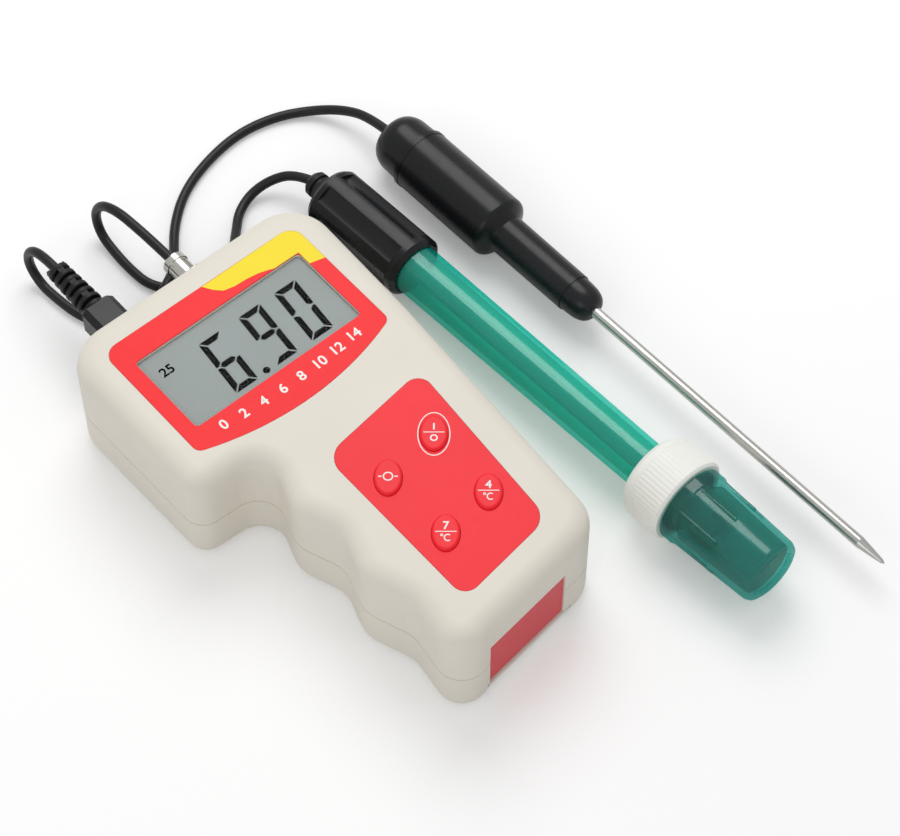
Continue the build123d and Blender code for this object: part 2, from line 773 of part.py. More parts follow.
with BuildPart() as probe_plug_pin:
    radius = jack_bore - pin_gap
    tip = bush_end - pin_length
    profile = [
        (tip, 0),
        (tip, 0.5),
        (tip + 1.6, radius),
        (tip + 2.6, radius - 0.45),
        (tip + 3.4, radius),
        (bush_end + 6, radius),
        (bush_end + 6, 0),
    ]
    add(turned(jack_axis, profile))
keep(probe_plug_pin, "probe_plug_pin")

with BuildPart() as probe_plug_housing:
    with BuildSketch(across(jack_x, bush_end)):
        Rectangle(housing_size, housing_size)
        chamfer(vertices(), 1.5)
    extrude(amount=housing_end_y - bush_end)
    chamfer(probe_plug_housing.faces().sort_by(Axis.Y)[-1].edges(), 0.8)
    add(sleeve(jack_axis, bush_end - 1, bush_end + 6, jack_bore - pin_gap), mode=Mode.SUBTRACT)
keep(probe_plug_housing, "probe_plug_housing")

with BuildPart() as probe_plug_relief:
    relief_length = relief_end_y - housing_end_y
    pitch = relief_length / relief_rings
    profile = [(housing_end_y, 0)]
    for place in range(relief_rings):
        share = place / (relief_rings - 1)
        radius = relief_radii[0] + share * (relief_radii[1] - relief_radii[0])
        start = housing_end_y + place * pitch
        profile.append((start, radius))
        profile.append((start + 0.62 * pitch, radius - 0.15))
        if place < relief_rings - 1:
            profile.append((start + 0.62 * pitch, radius - 0.8))
            profile.append((start + pitch, radius - 0.9))
    profile.append((relief_end_y, relief_radii[1] - 0.3))
    profile.append((relief_end_y, 0))
    add(turned(jack_axis, profile))
keep(probe_plug_relief, "probe_plug_relief")

# Electrode
electrode_rise = (nut_radius - cap_radius) / (nut_start + nut_shoulder - boot_length)
electrode_height = cap_radius - boot_length * electrode_rise + 0.02
electrode_axis = axis_plane((*electrode_start, electrode_height), electrode_yaw, electrode_rise)
with BuildPart() as electrode_boot:
    profile = [
        (0, 0),
        (0, boot_radius - 1.5),
        (0.9, boot_radius - 0.7),
        (2.4, boot_radius - 0.6),
        (2.7, boot_radius - 1.1),
        (3.4, boot_radius - 1.1),
        (3.8, boot_radius - 0.3),
        (5.2, boot_radius),
        (boot_length, boot_radius - 0.2),
        (boot_length, 3.2),
        (boot_length + 4, 3.2),
        (boot_length + 4, 0),
    ]
    add(turned(electrode_axis, profile))
keep(electrode_boot, "electrode_boot")

glass_start = 36.0
joint_overlap = 6.0
with BuildPart() as electrode_cap:
    inner = tube_radii[0] - tube_wall
    profile = [
        (boot_length, 3.2),
        (boot_length, cap_radius - 1.7),
        (boot_length + 0.5, cap_radius - 0.7),
        (boot_length + 1.6, cap_radius),
        (cap_end - 1.2, cap_radius),
        (cap_end, cap_radius - 1.2),
        (cap_end, tube_radii[0]),
        (cap_end - joint_overlap, tube_radii[0]),
        (cap_end - joint_overlap, 0),
        (boot_length + 4, 0),
        (boot_length + 4, 3.2),
    ]
    add(turned(electrode_axis, profile))
    with BuildSketch(station(electrode_axis, boot_length + 3.0)):
        with PolarLocations(cap_radius + flute_radius - flute_depth, 6):
            Circle(flute_radius)
    extrude(amount=cap_end - boot_length - 6.0, mode=Mode.SUBTRACT)
keep(electrode_cap, "electrode_cap")

with BuildPart() as electrode_tube:
    profile = [
        (cap_end - joint_overlap, tube_radii[0] - tube_wall),
        (cap_end - joint_overlap, tube_radii[0]),
        (cap_end, tube_radii[0]),
        (nut_start, tube_radii[1]),
        (tube_end - 0.6, tube_radii[1]),
        (tube_end, tube_radii[1] - 0.6),
        (tube_end, tube_radii[1] - tube_wall),
        (nut_start, tube_radii[1] - tube_wall),
        (cap_end, tube_radii[0] - tube_wall),
    ]
    add(turned(electrode_axis, profile))
    with BuildSketch(station(electrode_axis, tube_end + 1)):
        Rectangle(3.0, 30.0)
        Rectangle(30.0, 3.0)
    extrude(amount=-4.2, mode=Mode.SUBTRACT)
keep(electrode_tube, "electrode_tube")

seal_start = 139.0
with BuildPart() as glass_electrode:
    profile = [
        (cap_end - joint_overlap, 0),
        (cap_end - joint_overlap, stem_radius),
        (seal_start + 4.4, stem_radius),
        (seal_start + 5.4, bulb_radius - 0.7),
        (seal_start + 6.8, bulb_radius),
        (seal_start + 8.2, bulb_radius - 0.7),
        (seal_start + 9.2, 1.6),
        (seal_start + 9.4, 0),
    ]
    add(turned(electrode_axis, profile))
keep(glass_electrode, "glass_electrode")

with BuildPart() as tip_seal:
    add(sleeve(electrode_axis, seal_start, seal_start + 4.0, tube_radii[1] - tube_wall, stem_radius))
keep(tip_seal, "tip_seal")

# Storage bottle on the electrode: a nut clamps an o-ring at the mouth of the bottle's neck
neck_start = nut_start + nut_shoulder + 1.2
nut_end = nut_start + nut_length
flange_end_t = nut_end + 0.3 + flange_length
bottle_end = flange_end_t + bottle_length
bore = tube_radii[1] + 2 * nut_running_gap
with BuildPart() as collar_nut:
    cavity = bottle_neck + nut_running_gap
    hole = tube_radii[1] + nut_running_gap
    profile = [
        (nut_start, hole),
        (nut_start, hole + 1.0),
        (nut_start + 0.2 * nut_shoulder, nut_radius - 2.0),
        (nut_start + 0.55 * nut_shoulder, nut_radius - 0.7),
        (nut_start + nut_shoulder, nut_radius),
        (nut_end - 0.6, nut_radius),
        (nut_end, nut_radius - 0.6),
        (nut_end, cavity),
        (neck_start - 1.9, cavity),
        (neck_start - 1.9, hole),
    ]
    add(turned(electrode_axis, profile))
    with BuildSketch(station(electrode_axis, nut_start + nut_shoulder + 0.4)):
        with PolarLocations(nut_radius + 0.4, 60):
            Circle(0.5)
    extrude(amount=nut_length - nut_shoulder, mode=Mode.SUBTRACT)
keep(collar_nut, "collar_nut")

with BuildPart() as bottle_oring:
    with BuildSketch(electrode_axis):
        with Locations((neck_start - 0.9, tube_radii[1] + 0.95)):
            Circle(0.88)
    revolve(axis=Axis(electrode_axis.origin, electrode_axis.x_dir))
keep(bottle_oring, "bottle_oring")

with BuildPart() as storage_bottle:
    inside = bottle_radii[0] - bottle_wall
    foot = bottle_radii[1] - bottle_wall
    profile = [
        (neck_start, bore),
        (neck_start, bottle_neck),
        (nut_end + 0.3, bottle_neck),
        (nut_end + 0.3, flange_radius - 0.3),
        (nut_end + 0.6, flange_radius),
        (flange_end_t - 0.4, flange_radius),
        (flange_end_t, bottle_radii[0]),
        (bottle_end - 1.6, bottle_radii[1]),
        (bottle_end - 0.5, bottle_radii[1] - 0.5),
        (bottle_end, bottle_radii[1] - 1.5),
        (bottle_end, foot - 0.9),
        (bottle_end - 0.7, foot - 1.4),
        (bottle_end - 0.7, 0),
        (bottle_end - 0.7 - bottle_wall, 0),
        (bottle_end - 0.7 - bottle_wall, foot),
        (flange_end_t + 1, inside),
        (flange_end_t - 1, bore),
    ]
    add(turned(electrode_axis, profile))
    with BuildSketch(station(electrode_axis, flange_end_t - 0.5)):
        with PolarLocations(bottle_radii[0] - 0.35, bottle_ribs):
            Circle(0.5)
    extrude(amount=0.5 * bottle_length)
keep(storage_bottle, "storage_bottle")

# Temperature probe
probe_axis = axis_plane((*probe_start, handle_radius + handle_lip), probe_yaw, 0.0)
handle_end = handle_cap_length + handle_length
with BuildPart() as probe_handle_cap:
    with BuildSketch(probe_axis):
        with BuildLine():
            Polyline((0, 0), (0, 2.3), (1.0, 2.3), (1.2, 4.6))
            Spline((1.2, 4.6), (2.0, 6.2), (3.6, handle_radius - 1.3), (6.4, handle_radius - 0.6))
            Polyline(
                (6.4, handle_radius - 0.6),
                (handle_cap_length - 1.6, handle_radius - 0.45),
                (handle_cap_length - 1.2, handle_radius + handle_lip),
                (handle_cap_length, handle_radius + handle_lip),
                (handle_cap_length, 0),
                (0, 0),
            )
        make_face()
    revolve(axis=Axis(probe_axis.origin, probe_axis.x_dir))
    add(sleeve(probe_axis, 2.0, handle_cap_length + 1, 2.0), mode=Mode.SUBTRACT)
keep(probe_handle_cap, "probe_handle_cap")

with BuildPart() as probe_handle:
    drop = handle_radius - neck_radius
    with BuildSketch(probe_axis):
        with BuildLine():
            Polyline((handle_cap_length, rod_radius + 0.02), (handle_cap_length, handle_radius))
            Line((handle_cap_length, handle_radius), (handle_end, handle_radius))
            Spline(
                (handle_end, handle_radius),
                (handle_end + 0.5 * handle_curve + 0.6, handle_radius - 0.75),
                (handle_end + handle_curve + 0.3, neck_radius + 0.9),
                (handle_end + handle_curve + 1.4, neck_radius),
            )
            Line((handle_end + handle_curve + 1.4, neck_radius), (neck_end, neck_radius - 0.15))
            Polyline((neck_end, neck_radius - 0.15), (neck_end, rod_radius + 0.02))
            Line((neck_end, rod_radius + 0.02), (handle_cap_length, rod_radius + 0.02))
        make_face()
    revolve(axis=Axis(probe_axis.origin, probe_axis.x_dir))
keep(probe_handle, "probe_handle")

with BuildPart() as probe_nose:
    with BuildSketch(probe_axis):
        with BuildLine():
            Line((neck_end, rod_radius + 0.02), (neck_end, neck_radius - 0.4))
            Spline(
                (neck_end, neck_radius - 0.4),
                (neck_end + 4.6, neck_radius - 0.75),
                (neck_end + 7.0, neck_radius - 1.8),
                (nose_end, rod_radius + 0.5),
            )
            Line((nose_end, rod_radius + 0.5), (nose_end, rod_radius + 0.02))
            Line((nose_end, rod_radius + 0.02), (neck_end, rod_radius + 0.02))
        make_face()
    revolve(axis=Axis(probe_axis.origin, probe_axis.x_dir))
keep(probe_nose, "probe_nose")

rod_start = handle_cap_length - 4.0
with BuildPart() as probe_stem:
    inner = rod_radius - rod_wall
    profile = [
        (rod_start, inner),
        (rod_start, rod_radius),
        (rod_end - 8.0, rod_radius),
        (rod_end - 0.8, 0.55),
        (rod_end, 0.15),
        (rod_end, 0),
        (rod_end - 6.0, 0),
        (rod_end - 8.6, inner),
    ]
    add(turned(probe_axis, profile))
keep(probe_stem, "probe_stem")

with BuildPart() as thermistor:
    add(sleeve(probe_axis, rod_end - 14.0, rod_end - 8.6, rod_radius - rod_wall - 0.05))
    add(sleeve(probe_axis, rod_start + 1.0, rod_end - 14.0, 0.5))
keep(thermistor, "thermistor")

# Leads
lead_z = lead_radius


def lead(points, label):
    """A round lead through the given points, bent as gently as its runs allow."""
    runs = [(Vector(b) - Vector(a)) for a, b in zip(points[:-1], points[1:])]
    radii = []
    for a, b in zip(runs[:-1], runs[1:]):
        turn = radians(a.get_angle(b))
        radii.append(min(0.45 * min(a.length, b.length) / tan(0.5 * turn), 80.0))
    with BuildPart() as tube:
        with BuildLine() as path:
            FilletPolyline(*points, radius=radii)
        with BuildSketch(Plane(origin=points[0], z_dir=runs[0])):
            Circle(lead_radius)
        sweep()
    length = sum(edge.length for edge in path.edges())
    area = pi * lead_radius**2
    print(label, "length", round(length, 1), "volume share", round(tube.part.volume / (area * length), 4))
    print("  radii", [round(radius, 1) for radius in radii])
    keep(tube, label)
    return tube


probe_plug_route = [
    (jack_x, relief_end_y, connector_z),
    (jack_x - 0.1, 100.9, 16.5),
    (jack_x - 0.5, 106.2, 12.4),
    (jack_x - 0.7, 107.0, 6.0),
    (jack_x - 0.5, 102.8, lead_z),
    (jack_x - 0.1, 96.4, lead_z),
    (jack_x + 0.8, 89.8, lead_z),
    (jack_x + 3.0, 83.8, lead_z),
    (jack_x + 7.1, 78.8, lead_z),
    (jack_x + 15.1, 75.2, lead_z),
]
electrode_plug_route = [
    (bnc_x, plug_end_y, connector_z),
    (bnc_x - 0.2, 84.0, connector_z),
    (bnc_x - 0.7, 91.0, 16.9),
    (5.2, 98.2, 17.3),
    (4.5, 104.6, 14.4),
    (3.8, 107.4, 8.6),
    (3.2, 105.0, 2.6),
    (2.8, 98.4, lead_z),
    (2.6, 91.4, lead_z),
    (3.2, 84.6, lead_z),
    (6.8, 79.6, lead_z),
    (12.8, 76.4, lead_z),
    (18.6, 74.6, lead_z),
]
probe_far_route = [
    (-2.0, 74.6, 6.4),
    (3.0, 77.0, 7.4),
    (8.5, 80.5, 6.4),
    (13.5, 87.0, 2.2),
    (19.5, 95.0, lead_z),
    (28.5, 102.4, lead_z),
    (40.0, 106.8, lead_z),
    (52.0, 108.6, lead_z),
    (63.0, 106.6, lead_z),
    (71.5, 101.6, 1.9),
    (76.6, 94.6, 4.6),
    (78.8, 86.5, 7.6),
    (probe_start[0], probe_start[1], handle_radius + handle_lip),
]
electrode_far_route = [
    (20.6, 74.8, 6.2),
    (26.6, 78.4, 4.8),
    (30.8, 82.8, 2.6),
    (35.3, 87.6, 1.5),
    (41.4, 89.9, 2.4),
    (47.4, 88.6, 4.6),
    (51.9, 84.4, 7.2),
    (electrode_start[0], electrode_start[1], electrode_height),
]


def tie(x):
    """A flat band around the middle of one put-away length."""
    with BuildPart() as band:
        with Locations((x, hank_y, 0)):
            Box(4.0, 2 * hank_waist + 1.0, hank_height + 0.5, align=(Align.CENTER, Align.CENTER, Align.MIN))
        fillet(band.edges().filter_by(Axis.X), 0.9)
        with BuildSketch(Plane((x, hank_y, 0.5))):
            Rectangle(6.0, 2 * hank_waist)
        extrude(amount=hank_height - 0.5, mode=Mode.SUBTRACT)
    return band.part


def hank(x, label):
    """A put-away length of lead as one closed form: a flat bow drawn in at its tie."""
    length = hank_half_length
    width = hank_half_width
    outline = [
        (length, width),
        (0.5 * length, width),
        (2.6, hank_waist),
        (-2.6, hank_waist),
        (-0.5 * length, width),
        (-length, width),
        (-length, -width),
        (-0.5 * length, -width),
        (-2.6, -hank_waist),
        (2.6, -hank_waist),
        (0.5 * length, -width),
        (length, -width),
    ]
    rounds = [0.8 * width, 7, 4, 4, 7, 0.8 * width, 0.8 * width, 7, 4, 4, 7, 0.8 * width]
    with BuildPart() as bundle:
        with BuildSketch(Plane((x, hank_y, 0))):
            with BuildLine():
                FilletPolyline(*outline, radius=rounds, close=True)
            make_face()
        extrude(amount=hank_height)
        fillet(bundle.faces().sort_by(Axis.Z)[-1].edges(), 1.1)
        fillet(bundle.faces().sort_by(Axis.Z)[0].edges(), 1.1)
        add(tie(x), mode=Mode.SUBTRACT)
    keep(bundle, label)


hank(probe_hank_x, "probe_lead_hank")
hank(electrode_hank_x, "electrode_lead_hank")
with BuildPart() as lead_ties:
    add(tie(probe_hank_x))
    add(tie(electrode_hank_x))
keep(lead_ties, "lead_ties")

lead(probe_plug_route, "probe_lead_plug_side")
lead(electrode_plug_route, "electrode_lead_plug_side")
lead(probe_far_route, "probe_lead_probe_side")
lead(electrode_far_route, "electrode_lead_probe_side")

for piece in pieces:
    box = piece.bounding_box()
    print(piece.label, len(piece.solids()), round(piece.volume, 1), round(box.min.Z, 2))
    export_step(piece, f"parts/{piece.label}.step")
print(len(pieces), "pieces")
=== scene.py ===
import bpy
import bmesh
import math
from mathutils import Matrix, Vector


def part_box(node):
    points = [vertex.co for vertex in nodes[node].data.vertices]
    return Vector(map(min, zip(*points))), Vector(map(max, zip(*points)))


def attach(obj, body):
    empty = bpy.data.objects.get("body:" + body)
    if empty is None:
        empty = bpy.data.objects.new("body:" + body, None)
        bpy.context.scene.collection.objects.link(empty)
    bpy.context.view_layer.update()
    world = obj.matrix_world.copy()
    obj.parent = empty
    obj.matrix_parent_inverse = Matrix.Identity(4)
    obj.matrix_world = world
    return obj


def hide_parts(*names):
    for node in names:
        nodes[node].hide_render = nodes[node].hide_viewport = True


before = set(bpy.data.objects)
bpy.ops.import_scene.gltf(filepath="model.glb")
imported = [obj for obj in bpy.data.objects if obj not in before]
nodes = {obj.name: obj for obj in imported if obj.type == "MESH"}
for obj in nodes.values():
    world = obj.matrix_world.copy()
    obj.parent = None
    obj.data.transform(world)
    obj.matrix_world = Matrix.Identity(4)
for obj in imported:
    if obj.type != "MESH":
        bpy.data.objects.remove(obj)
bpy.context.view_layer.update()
millimetre = 0.001


def mm(*values):
    return Vector(values) * millimetre


def screenColour(red, green, blue):
    # colours are noted as they look on a screen, 0 to 255, and shaders want them linear
    def linear(value):
        value /= 255
        return value / 12.92 if value < 0.04045 else ((value + 0.055) / 1.055) ** 2.4
    return (linear(red), linear(green), linear(blue), 1.0)


def collect(obj):
    bpy.context.scene.collection.objects.link(obj)
    return obj


# Camera
cameraSettings = {
    "position": (-228.2, -304.9, 620.6),
    "direction": (0.3564, 0.4155, -0.8369),
    "lens": 117.96,
    "sensor": 36.0,
}


def makeCamera(settings):
    data = bpy.data.cameras.new("studioCamera")
    data.lens = settings["lens"]
    data.sensor_width = settings["sensor"]
    data.clip_end = 20
    camera = collect(bpy.data.objects.new("studioCamera", data))
    camera.location = mm(*settings["position"])
    camera.rotation_euler = Vector(settings["direction"]).to_track_quat("-Z", "Y").to_euler()
    bpy.context.scene.camera = camera
    return camera


makeCamera(cameraSettings)
print("camera placed")

# Leads: each is one line from its plug, through its put-away turns behind the meter, to its probe
leadSettings = {
    "diameter": 2.6,
    "layers": (1.35, 4.0, 6.65),
    "probePlugSide": [
        (-17.3, 94.5, 16.5), (-17.4, 100.9, 16.5), (-17.8, 106.2, 12.4), (-18.0, 107.0, 6.0),
        (-17.8, 102.8, 1.3), (-17.4, 96.4, 1.3), (-16.5, 89.8, 1.3), (-14.3, 83.8, 1.3),
        (-10.2, 78.8, 1.3), (-3.8, 76.0, 1.3),
    ],
    "probeFarSide": [
        (3.0, 77.0, 7.4), (8.5, 80.5, 6.4), (13.5, 87.0, 2.2), (19.5, 95.0, 1.3), (28.5, 102.4, 1.3),
        (40.0, 106.8, 1.3), (52.0, 108.6, 1.3), (63.0, 106.6, 1.3), (71.5, 101.6, 1.9), (76.6, 94.6, 4.6),
        (78.8, 86.5, 7.6), (78.9, 78.2, 8.85),
    ],
    "electrodePlugSide": [
        (6.7, 77.1, 16.5), (6.5, 84.0, 16.5), (6.0, 91.0, 16.9), (5.2, 98.2, 17.3), (4.5, 104.6, 14.4),
        (3.8, 107.4, 8.6), (3.2, 105.0, 2.6), (2.8, 98.4, 1.3), (2.6, 91.4, 1.3), (3.2, 84.6, 1.3),
        (6.8, 79.6, 1.3), (12.8, 76.4, 1.3),
    ],
    "electrodeFarSide": [
        (24.2, 75.6, 6.2), (27.3, 78.9, 4.6), (30.9, 82.9, 2.6), (35.3, 87.6, 1.5),
        (41.4, 89.9, 2.4), (47.4, 88.6, 4.6), (51.9, 84.4, 7.2), (53.5, 78.6, 8.46),
    ],
}
hankSettings = {
    "probeCentre": (-7.9, 71.2),
    "electrodeCentre": (27.4, 71.2),
    "waistLift": 0.45,
    "waistHalf": 3,
    "rise": 2.65,  # from one layer to the next
    # one end of the bow, from the upper side of its waist round to the lower side
    "lobe": [
        (2.6, 1.3), (7.6, 4.6), (12.2, 5.4), (15.6, 4.1), (16.0, 0.0),
        (15.6, -4.1), (12.2, -5.4), (7.6, -4.6), (2.6, -1.3),
    ],
}


def lobePoints(settings, height, side):
    # side 1 is the right-hand end, from its upper lane to its lower; side -1 is the left-hand end, back up
    lift, half = settings["waistLift"], settings["waistHalf"]
    return [(side * x, side * y, height + (lift if abs(x) < half else 0)) for x, y in settings["lobe"]]


def climb(points, shares, rise):
    # lifts the last points by shares of the rise to the next layer
    kept = points[:len(points) - len(shares)]
    return kept + [(x, y, z + share * rise) for (x, y, z), share in zip(points[-len(shares):], shares)]


def placed(points, centre):
    return [(centre[0] + x, centre[1] + y, z) for x, y, z in points]


def probeHank(settings, layers):
    # comes in beyond the waist, makes two turns and leaves over the right-hand end
    rise = settings["rise"]
    first = lobePoints(settings, layers[0], 1)[1:]
    first += climb(lobePoints(settings, layers[0], -1), (0, 0.3), rise)
    second = climb(lobePoints(settings, layers[0], 1)[:1], (0.8,), rise)
    second += lobePoints(settings, layers[1], 1)[1:]
    second += climb(lobePoints(settings, layers[1], -1), (0, 0.3), rise)
    way = [(2.6, 1.3, layers[2]), (7.4, 4.4, layers[2] + 0.3)]
    return placed(first + second + way, settings["probeCentre"])


def electrodeHank(settings, layers):
    # comes in along the left-hand end, makes two turns and leaves over that end
    shares = (0.45, 0.8, 1.0, 1.0)
    rise, lift = settings["rise"], settings["waistLift"]
    start = [(-7.6, 4.6, layers[0]), (-2.6, 1.3, layers[0] + lift)]
    first = lobePoints(settings, layers[0], 1)
    first += climb(lobePoints(settings, layers[0], -1)[:-1], shares, rise)
    second = [(-2.6, 1.3, layers[1] + lift)] + lobePoints(settings, layers[1], 1)
    second += climb(lobePoints(settings, layers[1], -1)[:-1], shares, rise)
    return placed(start + first + second, settings["electrodeCentre"])


leadDetail = {"along": 8, "around": 5}


def makeLead(name, points, settings):
    curve = bpy.data.curves.new(name, "CURVE")
    curve.dimensions = "3D"
    curve.resolution_u = leadDetail["along"]
    curve.bevel_depth = 1  # each point's radius gives the thickness, and keeps the curve's box tight
    curve.bevel_resolution = leadDetail["around"]
    curve.use_fill_caps = True
    spline = curve.splines.new("NURBS")
    spline.points.add(len(points) - 1)
    for place, point in zip(spline.points, points):
        place.co = (*mm(*point), 1.0)
        place.radius = 0.5 * settings["diameter"] * millimetre
    spline.order_u = 3
    spline.use_endpoint_u = True
    return collect(bpy.data.objects.new(name, curve))


layers = leadSettings["layers"]
probePoints = leadSettings["probePlugSide"] + probeHank(hankSettings, layers) + leadSettings["probeFarSide"]
electrodePoints = leadSettings["electrodePlugSide"] + electrodeHank(hankSettings, layers)
electrodePoints += leadSettings["electrodeFarSide"]
probeLead = makeLead("probe_lead", probePoints, leadSettings)
electrodeLead = makeLead("electrode_lead", electrodePoints, leadSettings)


def lineLength(obj):
    # the length of the curve's own line, read without its thickness
    data = obj.data.copy()
    data.bevel_depth = 0
    probe = collect(bpy.data.objects.new("measuring", data))
    bpy.context.view_layer.update()
    mesh = bpy.data.meshes.new_from_object(probe.evaluated_get(bpy.context.evaluated_depsgraph_get()))
    total = sum((mesh.vertices[e.vertices[0]].co - mesh.vertices[e.vertices[1]].co).length for e in mesh.edges)
    bpy.data.objects.remove(probe)
    bpy.data.meshes.remove(mesh)
    return total


probeLeadLength = lineLength(probeLead)
electrodeLeadLength = lineLength(electrodeLead)
print("leads laid", round(probeLeadLength, 4), round(electrodeLeadLength, 4))
for lead, cadNodes in (
    (probeLead, ("probe_lead_plug_side", "probe_lead_hank", "probe_lead_probe_side")),
    (electrodeLead, ("electrode_lead_plug_side", "electrode_lead_hank", "electrode_lead_probe_side")),
):
    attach(lead, "meter")
    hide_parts(*cadNodes)

# Floor and light
stageSettings = {
    "floorSize": 6.0,
    "floorColour": (0.86, 0.86, 0.86, 1.0),
    "floorGlow": 0.2,
    "worldColour": (1.0, 1.0, 1.0, 1.0),
    "worldStrength": 0.58,
    "keyPower": 2.2,
    "fillPower": 0.5,
    # place and width of each lamp, and where both point
    "keyPlace": ((260, 330, 620), 520),
    "fillPlace": ((-520, -180, 380), 420),
    "aim": (15, 0, 15),
}


def makeStage(settings):
    mesh = bpy.data.meshes.new("studioFloor")
    half = 0.5 * settings["floorSize"]
    corners = [(-half, -half, 0), (half, -half, 0), (half, half, 0), (-half, half, 0)]
    mesh.from_pydata(corners, [], [(0, 1, 2, 3)])
    floor = collect(bpy.data.objects.new("studioFloor", mesh))
    material = bpy.data.materials.new("paleFloor")
    material.use_nodes = True
    tree = material.node_tree
    tree.nodes.clear()
    output = tree.nodes.new("ShaderNodeOutputMaterial")
    total = tree.nodes.new("ShaderNodeAddShader")
    diffuse = tree.nodes.new("ShaderNodeBsdfDiffuse")
    diffuse.inputs["Color"].default_value = settings["floorColour"]
    glow = tree.nodes.new("ShaderNodeEmission")
    path = tree.nodes.new("ShaderNodeLightPath")
    lift = tree.nodes.new("ShaderNodeMath")
    lift.operation = "MULTIPLY"
    lift.inputs[1].default_value = settings["floorGlow"]
    tree.links.new(path.outputs["Is Camera Ray"], lift.inputs[0])
    tree.links.new(lift.outputs[0], glow.inputs["Strength"])
    tree.links.new(diffuse.outputs[0], total.inputs[0])
    tree.links.new(glow.outputs[0], total.inputs[1])
    tree.links.new(total.outputs[0], output.inputs["Surface"])
    mesh.materials.append(material)
    world = bpy.data.worlds.new("studioWorld")
    world.use_nodes = True
    backdrop = world.node_tree.nodes["Background"]
    backdrop.inputs["Color"].default_value = settings["worldColour"]
    backdrop.inputs["Strength"].default_value = settings["worldStrength"]
    bpy.context.scene.world = world
    lamps = {
        "keyLamp": (*settings["keyPlace"], settings["keyPower"]),
        "fillLamp": (*settings["fillPlace"], settings["fillPower"]),
    }
    for name, (position, size, power) in lamps.items():
        data = bpy.data.lights.new(name, "AREA")
        data.shape = "DISK"
        data.size = size * millimetre
        data.energy = power
        lamp = collect(bpy.data.objects.new(name, data))
        lamp.location = mm(*position)
        lamp.rotation_euler = (mm(*settings["aim"]) - lamp.location).to_track_quat("-Z", "Y").to_euler()


makeStage(stageSettings)
bpy.context.scene.view_settings.view_transform = "Standard"
print("stage lit")

# Finishes
finishSettings = {
    "casePlastic": {
        "colour": (231, 225, 213), "spread": 0.02, "roughness": (0.42, 0.52),
        "grain": 900, "bump": 0.06,
    },
    "redLabel": {
        "colour": (252, 18, 28), "spread": 0.02, "roughness": (0.38, 0.46),
        "grain": 500, "bump": 0.02,
    },
    "keypadRed": {
        "colour": (250, 34, 48), "spread": 0.02, "roughness": (0.38, 0.46),
        "grain": 500, "bump": 0.02,
    },
    "endRed": {
        "colour": (222, 78, 86), "spread": 0.02, "roughness": (0.4, 0.5),
        "grain": 500, "bump": 0.02,
    },
    "labelYellow": {
        "colour": (250, 226, 8), "spread": 0.01, "roughness": (0.38, 0.46),
        "grain": 500, "bump": 0.02,
    },
    "printWhite": {
        "colour": (250, 244, 240), "spread": 0.01, "roughness": (0.4, 0.5),
        "grain": 500, "bump": 0.01,
    },
    "printDark": {
        "colour": (8, 9, 10), "spread": 0.02, "roughness": (0.8, 0.9),
        "grain": 500, "bump": 0.01, "specular": 0.0,
    },
    "lcdGrey": {
        "colour": (158, 167, 165), "spread": 0.03, "roughness": (0.6, 0.7),
        "grain": 300, "bump": 0.01, "specular": 0.05,
    },
    "glossBlack": {
        "colour": (26, 27, 29), "spread": 0.25, "roughness": (0.2, 0.32),
        "grain": 350, "bump": 0.03,
    },
    "softBlack": {
        "colour": (24, 25, 27), "spread": 0.25, "roughness": (0.38, 0.5),
        "grain": 900, "bump": 0.05,
    },
    "leadBlack": {
        "colour": (30, 31, 33), "spread": 0.2, "roughness": (0.3, 0.42),
        "grain": 700, "bump": 0.05,
    },
    "whiteNut": {
        "colour": (246, 246, 240), "spread": 0.01, "roughness": (0.32, 0.45),
        "grain": 700, "bump": 0.05,
    },
    "boardGreen": {
        "colour": (30, 100, 60), "spread": 0.15, "roughness": (0.3, 0.45),
        "grain": 200, "bump": 0.04,
    },
    "darkPlastic": {
        "colour": (40, 42, 45), "spread": 0.2, "roughness": (0.45, 0.6),
        "grain": 600, "bump": 0.05,
    },
    "batteryCase": {
        "colour": (64, 68, 76), "spread": 0.08, "roughness": (0.3, 0.4),
        "grain": 200, "bump": 0.02,
    },
    "insulator": {
        "colour": (235, 235, 230), "spread": 0.02, "roughness": (0.4, 0.5),
        "grain": 500, "bump": 0.03,
    },
    "innerGlass": {
        "colour": (20, 120, 104), "spread": 0.1, "roughness": (0.1, 0.2),
        "grain": 300, "bump": 0.01,
    },
}
metalSettings = {
    "nickel": {
        "colour": (214, 212, 206), "spread": 0.06, "roughness": (0.14, 0.26),
        "grain": 260, "stretch": (1, 1, 1),
    },
    "probeSteel": {
        "colour": (205, 203, 198), "spread": 0.1, "roughness": (0.2, 0.34),
        "grain": 700, "stretch": (1, 0.03, 1),
    },
    "screwSteel": {
        "colour": (190, 190, 190), "spread": 0.1, "roughness": (0.28, 0.4),
        "grain": 400, "stretch": (1, 1, 1),
    },
    "goldContact": {
        "colour": (224, 186, 96), "spread": 0.06, "roughness": (0.18, 0.28),
        "grain": 300, "stretch": (1, 1, 1),
    },
}
tintSettings = {
    # clearness is the share of light that goes straight through, coat the share of the gloss on top
    "tealTube": {
        "colour": (0, 206, 186), "tint": (140, 244, 232), "clearness": 0.7,
        "spread": 0.05, "roughness": (0.06, 0.1), "grain": 18, "coat": 0.05, "coatRoughness": 0.12,
    },
    "tealBottle": {
        "colour": (0, 132, 126), "tint": (140, 226, 218), "clearness": 0.72,
        "spread": 0.05, "roughness": (0.06, 0.1), "grain": 18, "coat": 0.05, "coatRoughness": 0.12,
    },
}
paneSettings = {"reflection": 0.006, "grain": 120, "roughness": (0.04, 0.12)}
surfaceSettings = {
    "specular": 0.3,
    "metalBump": 0.05,
    "broadGrain": 40,
    "broadDetail": 3,
    "fineDetail": 4,
    "toneRange": (0.3, 0.7),
    "bumpDepth": 0.0003,
}


